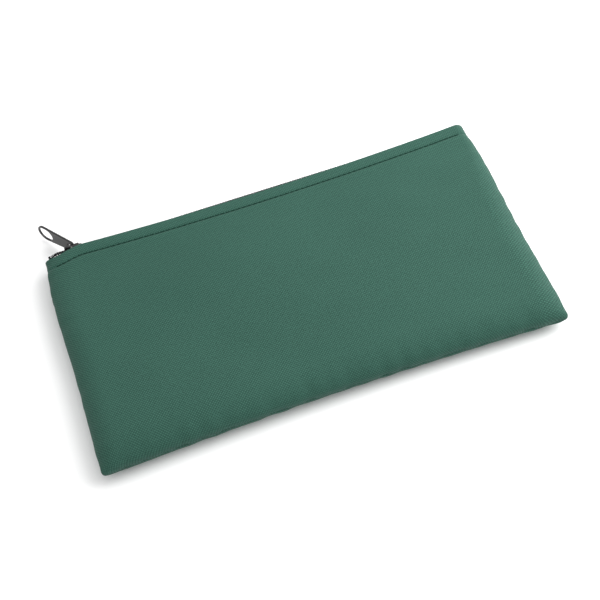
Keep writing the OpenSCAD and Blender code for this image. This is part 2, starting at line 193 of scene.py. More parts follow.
def mouth_share(x):
    roll = mouth_roll(x)
    along = np.clip((np.abs(x) - side_x(MOUTH_Y) + roll) / roll, 0, 1)
    return np.sqrt(1 - along * along)


def mouth_shell_z(face, x, y, depth):
    roll = roll_at(x, y)
    along = np.clip((np.abs(x) - side_x(y) + roll) / (roll - depth), 0, 1)
    return seam_z(y) + face * (panel_rise(face, x, y) - depth) * np.sqrt(1 - along * along)


def relief(face, x, y, to_side, to_bottom, to_lip):
    """How far the cloth stands out from its plain shape: slack, seam puckers, the pull of the stitching."""
    plateau = smooth(to_side / 30) * smooth(to_bottom / 30) * smooth(to_lip / 22)
    slack = 0.55 * ripples(x, y, 95, 6, 3 + face) + 0.16 * ripples(x, y, 34, 8, 11 + face)
    side_pucker = 0.28 * ripples(0.25 * x, y, 11, 7, 23 + face) * bell((to_side - 3) / 7)
    bottom_pucker = 0.28 * ripples(x, 0.25 * y, 12, 7, 31 + face) * bell((to_bottom - 3) / 7)
    ends = smooth(to_side / 5)
    hem_puff = 0.22 * ends * bell((to_lip - 0.5 * TOPSTITCH_D) / 2.6)
    hem_pucker = 0.1 * ends * ripples(x, 0.2 * y, 7, 6, 41 + face) * bell((to_lip - TOPSTITCH_D) / 4)
    groove = -0.6 * ends * bell((to_lip - TOPSTITCH_D) / 0.8)
    hem_edge = 0.12 * ends * (1 - smooth((to_lip - HEM_D + 1) / 2.5)) * smooth((to_lip - TOPSTITCH_D) / 2)
    return slack * plateau + side_pucker + bottom_pucker + hem_puff + hem_pucker + groove + hem_edge


def edge_distances(face, x, y):
    return side_x(y) - np.abs(x), y + BAG_H / 2 - bottom_bow(x), lip_y(face, x, mouth_share(x)) - y


def zip_point(x, y, z):
    """From the zip's own frame (along, out of the bag, across) to the bag's."""
    c, s = math.cos(ZIP_TILT), math.sin(ZIP_TILT)
    return np.stack(np.broadcast_arrays(x, ZIP_Y + y * c + z * s, ZIP_Z - y * s + z * c), axis=-1)


def parting(x):
    return PART_GAP * smooth((SLIDER_X + 1 - x) / PART_RUN) * smooth((x + CHAIN_END) / MERGE_RUN)


# ---- Meshes ----

def place(name, points, faces, body, material, uv=None, smooth_shading=True):
    """Makes a piece from points in millimetres, gives it its material and lets it ride on a body."""
    mesh = bpy.data.meshes.new(name)
    mesh.from_pydata((np.asarray(points, float) * MM).tolist(), [], faces)
    if uv is not None:
        layer = mesh.uv_layers.new(name="cloth")
        corners = np.zeros(len(mesh.loops), np.int32)
        mesh.loops.foreach_get("vertex_index", corners)
        layer.data.foreach_set("uv", (np.asarray(uv, float)[corners] * MM).ravel())
    mesh.polygons.foreach_set("use_smooth", [smooth_shading] * len(mesh.polygons))
    mesh.update()
    piece = bpy.data.objects.new(name, mesh)
    bpy.context.scene.collection.objects.link(piece)
    piece.data.materials.append(material)
    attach(piece, body)
    return piece


def grid_normals(points):
    along = np.gradient(points, axis=0)
    across = np.gradient(points, axis=1)
    normal = np.cross(across, along)
    return normal / np.maximum(np.linalg.norm(normal, axis=2, keepdims=True), 1e-9)


def grid_lengths(points):
    """Distance along the middle row and the middle column, for a weave that keeps its real size."""
    rows, cols = points.shape[:2]
    steps_u = np.linalg.norm(np.diff(points[rows // 2], axis=0), axis=1)
    steps_v = np.linalg.norm(np.diff(points[:, cols // 2], axis=0), axis=1)
    u = np.concatenate([[0], np.cumsum(steps_u)])
    v = np.concatenate([[0], np.cumsum(steps_v)])
    return np.stack(np.meshgrid(u, v), axis=-1).reshape(-1, 2)


class Cloth:
    """Gathers closed strips of cloth, each from a grid of points on one surface and a thickness."""

    def __init__(self):
        self.points = []
        self.uv = []
        self.faces = []
        self.count = 0

    def add(self, outer, inner, flip):
        rows, cols = outer.shape[:2]
        size = rows * cols
        index = self.count + np.arange(size).reshape(rows, cols)
        a, b = index[:-1, :-1].ravel(), index[:-1, 1:].ravel()
        c, d = index[1:, 1:].ravel(), index[1:, :-1].ravel()
        top = np.stack([a, b, c, d], axis=1)
        bottom = np.stack([a, d, c, b], axis=1) + size
        rim = np.concatenate([index[0, :], index[1:, -1], index[-1, -2::-1], index[-2:0:-1, 0]])
        after = np.roll(rim, -1)
        walls = np.stack([rim, rim + size, after + size, after], axis=1)
        faces = np.concatenate([top, bottom, walls])
        if flip:
            faces = faces[:, ::-1]
        lengths = grid_lengths(outer)
        self.points += [outer.reshape(-1, 3), inner.reshape(-1, 3)]
        self.uv += [lengths, lengths]
        self.faces += faces.tolist()
        self.count += 2 * size

    def place(self, name, body, material, slot):
        points, uv = np.concatenate(self.points), np.concatenate(self.uv)
        return place(name, points, self.faces, body, material, uv)


class Threads:
    """Gathers round tubes, each along a path of points."""

    def __init__(self, sides=8):
        self.sides = sides
        self.points = []
        self.uv = []
        self.faces = []
        self.count = 0

    def add(self, path, radius, lobes=0, lobe_depth=0.0, twist=0.0):
        path = np.asarray(path, float)
        n = len(path)
        radius = np.broadcast_to(radius, n)
        tangent = np.gradient(path, axis=0)
        tangent /= np.linalg.norm(tangent, axis=1, keepdims=True)
        side = np.cross(tangent[0], [0.3, 0.2, 1.0])
        sides = np.zeros_like(path)
        for i in range(n):
            side = side - tangent[i] * np.dot(side, tangent[i])
            side /= np.linalg.norm(side)
            sides[i] = side
        ups = np.cross(tangent, sides)
        angle = 2 * math.pi * np.arange(self.sides) / self.sides
        run = np.concatenate([[0], np.cumsum(np.linalg.norm(np.diff(path, axis=0), axis=1))])
        shape = 1 + lobe_depth * np.cos(lobes * (angle[None, :] + twist * run[:, None]))
        reach = radius[:, None, None] * shape[:, :, None]
        across = sides[:, None, :] * np.cos(angle)[None, :, None]
        ring = across + ups[:, None, :] * np.sin(angle)[None, :, None]
        points = path[:, None, :] + reach * ring
        index = self.count + np.arange(n * self.sides).reshape(n, self.sides)
        nxt = np.roll(index, -1, axis=1)
        walls = np.stack([index[:-1], nxt[:-1], nxt[1:], index[1:]], axis=-1).reshape(-1, 4)
        self.faces += walls.tolist()
        self.faces.append(index[0, ::-1].tolist())
        self.faces.append(index[-1].tolist())
        self.points.append(points.reshape(-1, 3))
        u = np.broadcast_to(run[:, None], (n, self.sides))
        v = np.broadcast_to(angle[None, :] * radius.mean(), (n, self.sides))
        self.uv.append(np.stack([u, v], axis=-1).reshape(-1, 2))
        self.count += n * self.sides

    def place(self, name, body, material, slot):
        points, uv = np.concatenate(self.points), np.concatenate(self.uv)
        return place(name, points, self.faces, body, material, uv)


# ---- Materials ----

def linear(r, g, b):
    """Screen colour, 0 to 255, as the linear colour that shaders use."""
    channels = [c / 255 for c in (r, g, b)]
    return tuple(c / 12.92 if c <= 0.04045 else ((c + 0.055) / 1.055) ** 2.4 for c in channels) + (1.0,)


class Shader:
    """A material, with short ways to add the nodes that this scene uses."""

    def __init__(self, name, **constants):
        self.material = bpy.data.materials.new(name)
        self.material.use_nodes = True
        self.tree = self.material.node_tree
        self.base = next(n for n in self.tree.nodes if n.type == "BSDF_PRINCIPLED")
        for key, value in constants.items():
            self.base.inputs[key.replace("_", " ")].default_value = value

    def node(self, kind, inputs=None, **settings):
        made = self.tree.nodes.new(kind)
        for key, value in settings.items():
            setattr(made, key, value)
        for key, value in (inputs or {}).items():
            if isinstance(value, bpy.types.NodeSocket):
                self.tree.links.new(value, made.inputs[key])
            else:
                made.inputs[key].default_value = value
        return made

    def math(self, operation, a, b=0.0):
        return self.node("ShaderNodeMath", {0: a, 1: b}, operation=operation).outputs[0]

    def uv(self):
        return self.node("ShaderNodeTexCoord").outputs["UV"]

    def axes(self, vector):
        parts = self.node("ShaderNodeSeparateXYZ", {0: vector})
        return parts.outputs[0], parts.outputs[1]

    def noise(self, vector, scale, detail=2.0):
        inputs = {"Vector": vector, "Scale": scale, "Detail": detail}
        return self.node("ShaderNodeTexNoise", inputs).outputs[0]

    def spread(self, value, low, high):
        """Maps 0..1 to low..high."""
        return self.node("ShaderNodeMapRange", {"Value": value, "To Min": low, "To Max": high}).outputs[0]

    def window(self, value, start, end):
        """0 below start, 1 above end."""
        inputs = {"Value": value, "From Min": start, "From Max": end}
        return self.node("ShaderNodeMapRange", inputs).outputs[0]

    def mix(self, share, a, b):
        made = self.node("ShaderNodeMix", data_type="RGBA")
        for socket, value in ((made.inputs[0], share), (made.inputs[6], a), (made.inputs[7], b)):
            if isinstance(value, bpy.types.NodeSocket):
                self.tree.links.new(value, socket)
            else:
                socket.default_value = value
        return made.outputs[2]

    def choose(self, share, a, b):
        """Number a where share is 0 and b where it is 1."""
        return self.node("ShaderNodeMix", {0: share, 2: a, 3: b}, data_type="FLOAT").outputs[0]

    def bump(self, height, depth, strength=1.0, normal=None):
        inputs = {"Height": height, "Distance": depth, "Strength": strength}
        if normal is not None:
            inputs["Normal"] = normal
        return self.node("ShaderNodeBump", inputs).outputs[0]

    def finish(self, **links):
        for key, socket in links.items():
            self.tree.links.new(socket, self.base.inputs[key.replace("_", " ")])
        return self.material


def woven(name, light, dark, cell, yarns, depth, contrast, **constants):
    """Plain weave: square cells in which the warp and the weft take turns on top, each a bundle of yarns;
    the colour is painted darker in the hollows between the yarns, as shade.
    """
    s = Shader(name, **constants)
    uv = s.uv()
    wander = s.noise(uv, 90.0, 2.0)
    u, v = s.axes(uv)
    u = s.math("ADD", u, s.math("MULTIPLY", s.math("SUBTRACT", wander, 0.5), 0.5 * cell))
    v = s.math("ADD", v, s.math("MULTIPLY", s.math("SUBTRACT", wander, 0.5), 0.4 * cell))
    wave_u = s.math("SINE", s.math("MULTIPLY", u, math.pi / cell))
    wave_v = s.math("SINE", s.math("MULTIPLY", v, math.pi / cell))
    warp_up = s.window(s.math("MULTIPLY", wave_u, wave_v), -0.06, 0.06)
    strands_u = s.math("ABSOLUTE", s.math("SINE", s.math("MULTIPLY", u, yarns * math.pi / cell)))
    strands_v = s.math("ABSOLUTE", s.math("SINE", s.math("MULTIPLY", v, yarns * math.pi / cell)))
    arch_u = s.math("POWER", s.math("ABSOLUTE", wave_u), 0.6)
    arch_v = s.math("POWER", s.math("ABSOLUTE", wave_v), 0.6)
    warp = s.math("MULTIPLY", arch_v, s.spread(strands_u, 0.6, 1.0))
    weft = s.math("MULTIPLY", arch_u, s.spread(strands_v, 0.6, 1.0))
    height = s.choose(warp_up, weft, warp)
    fleck = s.noise(uv, 1.0 / (1.4 * cell), 3.0)
    patch = s.noise(uv, 14.0, 3.0)
    # painted shade: the colour is lighter on the yarns' crowns and darker in the hollows between them
    painted_hollow_shade = s.math("MULTIPLY", height, 0.45 * contrast)
    from_side = s.math("MULTIPLY", warp_up, 0.55 * contrast)
    tone = s.math("ADD", painted_hollow_shade, from_side)
    tone = s.math("ADD", tone, s.math("MULTIPLY", s.math("SUBTRACT", fleck, 0.5), 0.7 * contrast))
    tone = s.math("ADD", tone, s.math("MULTIPLY", s.math("SUBTRACT", patch, 0.5), 0.25 * contrast))
    colour = s.mix(tone, dark, light)
    rough = s.spread(height, 0.85, 0.6)
    fine = s.bump(fleck, 0.25 * depth, 0.5)
    return s.finish(Base_Color=colour, Roughness=rough, Normal=s.bump(height, depth, 0.8, fine))


def thread(name, light, dark, twist):
    """Twisted sewing thread: slanting plies with a soft shine; the colour is painted darker in the grooves
    between the plies, as shade.
    """
    s = Shader(name, Sheen_Weight=0.0, Specular_IOR_Level=0.1)
    u, v = s.axes(s.uv())
    ply = s.math("SINE", s.math("MULTIPLY", s.math("ADD", u, v), 2 * math.pi / twist))
    ply = s.spread(ply, 0.5, 1.0)
    fluff = s.noise(s.uv(), 2500.0)
    # painted shade in the grooves between the plies, with random fluff tone mixed in
    colour = s.mix(s.math("MULTIPLY", ply, fluff), dark, light)
    return s.finish(Base_Color=colour, Roughness=s.spread(fluff, 0.5, 0.8), Normal=s.bump(ply, 0.00006, 0.7))


def nylon(name, light, dark):
    """Moulded nylon wire: satin, with faint flow marks."""
    s = Shader(name, Coat_Weight=0.0, Coat_Roughness=0.3, Specular_IOR_Level=0.2)
    place_in_bag = s.node("ShaderNodeTexCoord").outputs["Object"]
    cloud = s.noise(place_in_bag, 900.0, 3.0)
    colour = s.mix(cloud, dark, light)
    rough = s.spread(cloud, 0.28, 0.5)
    return s.finish(Base_Color=colour, Roughness=rough, Normal=s.bump(cloud, 0.00003, 0.5))


def painted_metal(name, light, dark, bare, wear_start):
    """Semi-gloss paint: an orange-peel skin, small scuffs, and bare metal at the sharpest edges."""
    s = Shader(name, Coat_Weight=0.08, Coat_Roughness=0.25, Specular_IOR_Level=0.3)
    place_in_bag = s.node("ShaderNodeTexCoord").outputs["Object"]
    peel = s.noise(place_in_bag, 1500.0, 2.0)
    scuff = s.noise(place_in_bag, 380.0, 5.0)
    edge = s.node("ShaderNodeNewGeometry").outputs["Pointiness"]
    worn = s.math("MULTIPLY", s.window(edge, wear_start, wear_start + 0.06), s.window(scuff, 0.42, 0.6))
    worn = s.math("MULTIPLY", worn, 0.6)
    colour = s.mix(worn, s.mix(scuff, dark, light), bare)
    rough = s.spread(scuff, 0.26, 0.46)
    return s.finish(Base_Color=colour, Roughness=rough, Metallic=worn, Normal=s.bump(peel, 0.00002, 0.5))


CLOTH = woven(
    "green_oxford_cloth", linear(58, 99, 86), linear(24, 56, 47), 0.86 * MM, 2, 0.2 * MM, 1.0,
    Sheen_Weight=0.05, Sheen_Roughness=0.45, Specular_IOR_Level=0.14,
)
TAPE = woven(
    "black_zip_tape", linear(34, 34, 36), linear(10, 10, 11), 0.62 * MM, 1, 0.14 * MM, 0.8,
    Sheen_Weight=0.12, Sheen_Roughness=0.5,
)
TOP_THREAD = thread("green_top_thread", linear(30, 76, 62), linear(10, 36, 28), 0.5 * MM)
INNER_THREAD = thread("green_inner_thread", linear(60, 112, 96), linear(24, 60, 50), 0.5 * MM)
ZIP_THREAD = thread("black_zip_thread", linear(52, 52, 54), linear(14, 14, 15), 0.4 * MM)
COIL = nylon("black_nylon_coil", linear(30, 30, 32), linear(12, 12, 13))
WEAR_START = 0.56
SLIDER_PAINT = painted_metal(
    "black_slider_paint", linear(44, 44, 46), linear(26, 26, 27), linear(150, 148, 144), WEAR_START,
)
TAB_PAINT = painted_metal(
    "black_tab_paint", linear(44, 44, 45), linear(30, 30, 31), linear(160, 158, 154), WEAR_START,
)


# ---- Panels ----

ROLL_STEPS = 16
FLAT_COLUMNS = 150
FLAT_ROWS = 64
FOLD_STEPS = 10


def panel_columns():
    roll = np.linspace(0, math.pi / 2, ROLL_STEPS + 1)
    flat = np.linspace(-1, 1, FLAT_COLUMNS + 1)[1:-1]
    share = np.concatenate([-np.ones(ROLL_STEPS + 1), flat, np.ones(ROLL_STEPS + 1)])
    angle = np.concatenate([roll, np.full(len(flat), math.pi / 2), roll[::-1]])
    return share, angle


def panel_rows():
    """Each row is [share of the way to the lip, offset, depth, angle round the bottom roll]."""
    half_pi = math.pi / 2
    rows = []
    for a in np.linspace(0, half_pi, ROLL_STEPS + 1):
        rows.append([0, BOTTOM_ROLL * (1 - math.cos(a)), 0, a])
    for q in np.linspace(0, 1, FLAT_ROWS + 1)[1:]:
        rows.append([q, lerp(BOTTOM_ROLL, -16, q), 0, half_pi])
    for offset in np.linspace(-15.5, -FOLD_R, 36):
        rows.append([1, offset, 0, half_pi])
    for a in np.linspace(half_pi, -half_pi, FOLD_STEPS + 1)[1:-1]:
        rows.append([1, -FOLD_R + FOLD_R * math.cos(a), FOLD_R * (1 - math.sin(a)), half_pi])
    for offset in np.linspace(-FOLD_R, -HEM_D, 14):
        rows.append([1, offset, HEM_DEPTH, half_pi])
    return np.array(rows)


def panel_grid(face):
    share, angle = panel_columns()
    rows = panel_rows()
    q, offset, depth, turn = (rows[:, i][:, None] for i in range(4))
    rise_share = np.sin(angle)[None, :]
    side = np.sign(share + 1e-9)[None, :]
    edge_roll = mouth_roll(side)
    x_mouth = share * (side_x(MOUTH_Y) - edge_roll) + side * edge_roll * np.cos(angle)[None, :]
    y_flat = lerp(-BAG_H / 2, lip_y(face, x_mouth, rise_share), q) + offset
    roll = roll_at(side, y_flat)
    flat_half = side_x(y_flat) - roll
    seam_notch = 0.7 * bell(angle / math.radians(16))[None, :]
    x = share * flat_half + np.sign(share) * ((roll - depth) * np.cos(angle)[None, :] - seam_notch)
    bottom_notch = 0.7 * bell(turn / math.radians(16))
    y = y_flat + bottom_bow(x) * (1 - smooth((y_flat + BAG_H / 2) / BAG_H)) + bottom_notch
    rise = (panel_rise(face, x, y) - depth) * rise_share * np.sin(turn)
    points = np.stack([x, y, seam_z(y) + face * rise], axis=-1)
    normal = grid_normals(points) * face
    to_side, to_bottom, to_lip = edge_distances(face, x, y)
    outward = np.where(depth > 1.5 * FOLD_R, -1.0, 1.0)
    lift = relief(face, x, y, to_side, to_bottom, np.maximum(to_lip, 0)) * outward
    points = points + normal * lift[..., None]
    if face == BACK:
        points[..., 2] = np.maximum(points[..., 2], 0)
    return points


def allowance_strips(cloth, face):
    """The turned-in seam allowances, flat against the other panel's."""
    inset = np.linspace(0.25, ALLOWANCE, 6)[None, :]
    y = np.linspace(FLANGE_BOTTOM, FLANGE_TOP, 90)[:, None]
    for side in (LEFT, RIGHT):
        x = side * (side_x(y) - 0.5 - inset)
        joint = np.stack(np.broadcast_arrays(x, y, seam_z(y) + face * FLANGE_GAP), axis=-1)
        outer = joint + np.array([0, 0, face * (CLOTH_T - FLANGE_GAP)])
        cloth.add(outer, joint, (side == RIGHT) != (face == BACK))
    x = np.linspace(-BAG_W / 2 + CORNER_R + 1, BAG_W / 2 - CORNER_R - 1, 160)[:, None]
    y = -BAG_H / 2 + bottom_bow(x) + 0.5 + inset
    joint = np.stack(np.broadcast_arrays(x, y, SEAM_H + face * FLANGE_GAP), axis=-1)
    cloth.add(joint + np.array([0, 0, face * (CLOTH_T - FLANGE_GAP)]), joint, face == FRONT)


def build_panel(face, name, node):
    outer = panel_grid(face)
    normal = grid_normals(outer) * face
    cloth = Cloth()
    cloth.add(outer, outer - CLOTH_T * normal, face == BACK)
    allowance_strips(cloth, face)
    piece = cloth.place(name, "bag", CLOTH, "cloth")
    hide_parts(node)
    return piece


front_cloth = build_panel(FRONT, "cloth_front", "front_panel")
back_cloth = build_panel(BACK, "cloth_back", "back_panel")


# ---- Zip tapes, coils and cords ----

# The tape stands straight up beside the slider, from this far past it
TAPE_STAND = 10.0
TAPE_STAND_RUN = 4.0
# The tape's bend beside the chain, how far below it the turn comes, and two places down inside the lip
TAPE_BEND = 1.6
TURN_DROP = 0.9
NEAR_LIP = 3.0
DOWN_LIP = 7.0


def tape_grid(face):
    x = np.linspace(-CHAIN_END, CHAIN_END, 240)
    mid_y = COIL_BOTTOM - 0.05 - TAPE_T / 2
    depth = HEM_DEPTH + LAYER_GAP + TAPE_T / 2
    lip = lip_y(face, x, mouth_share(x))
    level = mouth_shell_z(face, x, lip - NEAR_LIP, depth)
    top = np.abs(level - ZIP_Z) / math.cos(ZIP_TILT)
    near = TAPE_EDGE + parting(x)
    edge = zip_point(x, mid_y, face * near)
    corner = zip_point(x, mid_y, face * np.maximum(top - TAPE_BEND, near + 0.4))
    straight_y = corner[:, 1] - TURN_DROP
    beside = smooth((x - SLIDER_X + TAPE_STAND) / TAPE_STAND_RUN)
    turn_y = lerp(np.minimum(straight_y, lip - NEAR_LIP), straight_y, beside)
    turn = np.stack([x, turn_y, level], axis=-1)
    low = np.stack([x, lip - DOWN_LIP, mouth_shell_z(face, x, lip - DOWN_LIP, depth)], axis=-1)
    end = np.stack([x, lip - TAPE_REACH, mouth_shell_z(face, x, lip - TAPE_REACH, depth)], axis=-1)
    line = np.stack([edge, corner, turn, low, end], axis=1)
    fine = []
    for a, b, steps in zip(range(4), range(1, 5), (8, 5, 6, 6)):
        for i in range(steps):
            fine.append(lerp(line[:, a], line[:, b], i / steps))
    fine.append(line[:, 4])
    grid = np.stack(fine, axis=1)
    for _ in range(2):
        grid[:, 1:-1] = (grid[:, :-2] + 2 * grid[:, 1:-1] + grid[:, 2:]) / 4
    return grid


def build_tape(face, name, node):
    middle = tape_grid(face)
    normal = grid_normals(middle)
    cloth = Cloth()
    cloth.add(middle + normal * TAPE_T / 2, middle - normal * TAPE_T / 2, False)
    piece = cloth.place(name, "bag", TAPE, "zip_tape")
    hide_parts(node)
    return piece


tooth_count = math.floor((2 * CHAIN_END - 1) / TOOTH_PITCH) - 1


def tooth_x(face, i):
    return (i - (tooth_count - 1) / 2) * TOOTH_PITCH + face * TOOTH_PITCH / 4


def coil_path(face):
    """A nylon coil: each turn runs over the top, round its head, back under, and round the cord."""
    wire = COIL_WIRE / 2
    top, bottom = COIL_TOP - wire, COIL_BOTTOM + wire
    bend = (top - bottom) / 2
    mid = (top + bottom) / 2
    head_z = wire - HEAD_REACH + bend
    back_z_at = CHAIN_HALF - wire - bend
    path, girth = [], []
    for i in range(tooth_count):
        x = tooth_x(face, i)
        for a in np.linspace(0, math.pi, 9):
            path.append([x, mid + bend * math.cos(a), head_z - bend * math.sin(a)])
            girth.append(wire * (1 + 0.16 * math.sin(a)))
        for t in (0.35, 0.7):
            path.append([x, bottom, lerp(head_z, back_z_at, t)])
            girth.append(wire * 0.94)
        for a in np.linspace(0, math.pi, 9):
            step = TOOTH_PITCH * float(smooth(a / math.pi))
            path.append([x + step, mid - bend * math.cos(a), back_z_at + bend * math.sin(a)])
            girth.append(wire)
        for t in (0.35, 0.7):
            path.append([x + TOOTH_PITCH, top, lerp(back_z_at, head_z, t)])
            girth.append(wire * 0.94)
    path = np.array(path[:-11])
    apart = parting(path[:, 0])
    return zip_point(path[:, 0], path[:, 1], face * (path[:, 2] + apart)), np.array(girth[:-11])


def build_coil(face, name, node):
    threads = Threads(sides=8)
    path, girth = coil_path(face)
    threads.add(path, girth)
    piece = threads.place(name, "bag", COIL, "zip_coil")
    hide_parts(node)
    return piece


def build_core(face, name, node):
    x = np.linspace(-CHAIN_END + 0.2, CHAIN_END - 0.2, 700)
    threads = Threads(sides=12)
    mid = (COIL_BOTTOM + COIL_TOP) / 2
    line = zip_point(x, mid, face * (CORE_Z + parting(x)))
    threads.add(line, CORE_R * 0.92, lobes=3, lobe_depth=0.14, twist=0.9)
    piece = threads.place(name, "bag", ZIP_THREAD, "zip_cord")
    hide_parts(node)
    return piece


def build_coil_stitch(face, name, node):
    """Two threads that lie over the coil's legs and dip between them."""
    threads = Threads(sides=6)
    x = np.linspace(-CHAIN_END + 1, CHAIN_END - 1, tooth_count * 8)
    phase = 2 * math.pi * (x - tooth_x(face, 0)) / TOOTH_PITCH
    for shift, offset in ((0.0, 1.75), (math.pi, 2.25)):
        y = COIL_TOP - 0.02 + 0.14 * np.cos(phase + 0.3 * shift)
        z = offset + 0.05 * np.sin(0.5 * phase + shift)
        threads.add(zip_point(x, y, face * (z + parting(x))), 0.15)
    piece = threads.place(name, "bag", ZIP_THREAD, "zip_thread")
    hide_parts(node)
    return piece


def build_tack(side, name, node):
    """A bar tack: a dense winding across both tapes past the last tooth."""
    turns = 9
    t = np.linspace(0, 1, turns * 16)
    angle = 2 * math.pi * turns * t
    x = side * (CHAIN_END - 0.15) + lerp(-0.55, 0.55, t)
    mid, half = (COIL_BOTTOM + COIL_TOP) / 2, (COIL_TOP - COIL_BOTTOM) / 2 - 0.15
    wide = CHAIN_HALF - 0.2
    z = wide * np.clip(1.25 * np.cos(angle), -1, 1)
    y = mid + half * np.clip(1.6 * np.sin(angle), -1, 1)
    threads = Threads(sides=6)
    threads.add(zip_point(x, y, z), 0.17)
    piece = threads.place(name, "bag", ZIP_THREAD, "tack_thread")
    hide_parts(node)
    return piece


for face, word in ((FRONT, "front"), (BACK, "back")):
    tape = build_tape(face, "tape_" + word, "zip_tape_" + word)
    on_tape = [
        build_coil(face, "nylon_coil_" + word, "coil_" + word),
        build_core(face, "cord_in_coil_" + word, "core_cord_" + word),
        build_coil_stitch(face, "stitches_on_coil_" + word, "coil_stitch_" + word),
    ]
for side, word in ((LEFT, "left"), (RIGHT, "right")):
    build_tack(side, "bar_tack_" + word, "zip_tack_" + word)


# ---- Stitches ----

def islands(node):
    """The separate solids of a CAD node, each as its points in millimetres."""
    bm = bmesh.new()
    bm.from_mesh(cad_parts[node].data)
    bmesh.ops.remove_doubles(bm, verts=bm.verts, dist=1e-7)
    bm.verts.ensure_lookup_table()
    seen = set()
    found = []
    for start in bm.verts:
        if start.index in seen:
            continue
        seen.add(start.index)
        todo, group = [start], []
        while todo:
            vert = todo.pop()
            group.append(vert.co[:])
            for edge in vert.link_edges:
                other = edge.other_vert(vert)
                if other.index not in seen:
                    seen.add(other.index)
                    todo.append(other)
        found.append(np.array(group) / MM)
    bm.free()
    return found


def build_stitches(node, name, material, slot, sunk):
    """Each stitch: a round thread that arches out of the cloth at one end and back in at the other."""
    threads = Threads(sides=8)
    t = np.linspace(-1, 1, 11)
    for points in islands(node):
        middle = points.mean(axis=0)
        away = points - middle
        axis = np.linalg.svd(away, full_matrices=False)[2][0]
        half = np.abs(away @ axis).max()
        face = sunk(middle)
        middle = middle + np.array([0, 0, face[1]])
        dip = -0.45 * face[0] * t ** 4
        path = middle + (t * half * 1.3)[:, None] * axis + dip[:, None] * np.array([0, 0, 1.0])
        threads.add(path, THREAD_D / 2 * (1.5 - 0.4 * t ** 2), lobes=2, lobe_depth=0.12, twist=3.0)
    piece = threads.place(name, "bag", material, slot)
    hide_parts(node)
    return piece


def on_cloth(face):
    """Which way is out of the cloth, and how far the cloth stands out where a top stitch lies."""
    def at(middle):
        x, y = middle[0], middle[1]
        to_side, to_bottom, to_lip = edge_distances(face, x, y)
        return face, face * float(relief(face, x, y, to_side, to_bottom, to_lip)) + 0.03 * face
    return at


def on_allowance(middle):
    up = 1 if middle[2] > float(seam_z(middle[1])) else -1
    return up, 0.0


top_front = build_stitches(
    "topstitch_front", "top_stitches_front", TOP_THREAD, "top_thread", on_cloth(FRONT),
)
top_back = build_stitches("topstitch_back", "top_stitches_back", TOP_THREAD, "top_thread", on_cloth(BACK))
for node in ("side_seam_left", "side_seam_right", "bottom_seam"):
    build_stitches(node, "stitches_" + node, INNER_THREAD, "seam_thread", on_allowance)


def overlock_path(points_at, count):
    """Thread that runs in over the top of the raw edge, round it and in underneath, then back."""
    near = CLOTH_T + 0.19
    path = []
    for i in range(count):
        corners = [(ALLOWANCE - 2.8, near), (ALLOWANCE - 0.2, near), (ALLOWANCE + 0.22, 0.3),
                   (ALLOWANCE + 0.22, -0.3), (ALLOWANCE - 0.2, -near), (ALLOWANCE - 2.8, -near)]
        if i % 2:
            corners.reverse()
        for k, (inset, height) in enumerate(corners):
            path.append(points_at((i + 0.16 * k) / count, inset, height))
    return np.array(path, float)


def build_overlock(node, points_at, count):
    threads = Threads(sides=6)
    threads.add(overlock_path(points_at, count), 0.14)
    piece = threads.place("loops_" + node, "bag", INNER_THREAD, "overlock_thread")
    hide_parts(node)


def side_edge(side):
    def at(share, inset, height):
        y = lerp(FLANGE_BOTTOM, FLANGE_TOP, share)
        return [side * (float(side_x(y)) - inset), y, float(seam_z(y)) + height]
    return at


def bottom_edge(share, inset, height):
    half = BAG_W / 2 - CORNER_R - 1
    x = lerp(-half, half, share)
    return [x, -BAG_H / 2 + float(bottom_bow(x)) + inset, SEAM_H + height]


build_overlock("overlock_left", side_edge(LEFT), 84)
build_overlock("overlock_right", side_edge(RIGHT), 84)
build_overlock("overlock_bottom", bottom_edge, 190)


# ---- Slider and pull tab ----

def soften(node, name, width, material, body):
    """The CAD shape with its sharp edges rounded over, as a die-cast part has them."""
    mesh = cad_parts[node].data.copy()
    bm = bmesh.new()
    bm.from_mesh(mesh)
    bmesh.ops.remove_doubles(bm, verts=bm.verts, dist=1e-6)
    bmesh.ops.dissolve_limit(bm, angle_limit=math.radians(1), verts=bm.verts, edges=bm.edges)
    bm.to_mesh(mesh)
    bm.free()
    piece = bpy.data.objects.new(name, mesh)
    bpy.context.scene.collection.objects.link(piece)
    piece.data.materials.clear()
    piece.data.materials.append(material)
    bevel = piece.modifiers.new("rounded", "BEVEL")
    bevel.width = width * MM
    bevel.segments = 3
    bevel.limit_method = "ANGLE"
    bevel.angle_limit = math.radians(32)
    bevel.use_clamp_overlap = True
    graph = bpy.context.evaluated_depsgraph_get()
    rounded = bpy.data.meshes.new_from_object(piece.evaluated_get(graph))
    piece.modifiers.clear()
    piece.data = rounded
    rounded.polygons.foreach_set("use_smooth", [True] * len(rounded.polygons))
    rounded.set_sharp_from_angle(angle=math.radians(38))
    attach(piece, body)
    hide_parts(node)
    return piece


def arc(cx, cy, r, start, end, steps):
    return [(cx + r * math.cos(a), cy + r * math.sin(a)) for a in np.linspace(start, end, steps)]


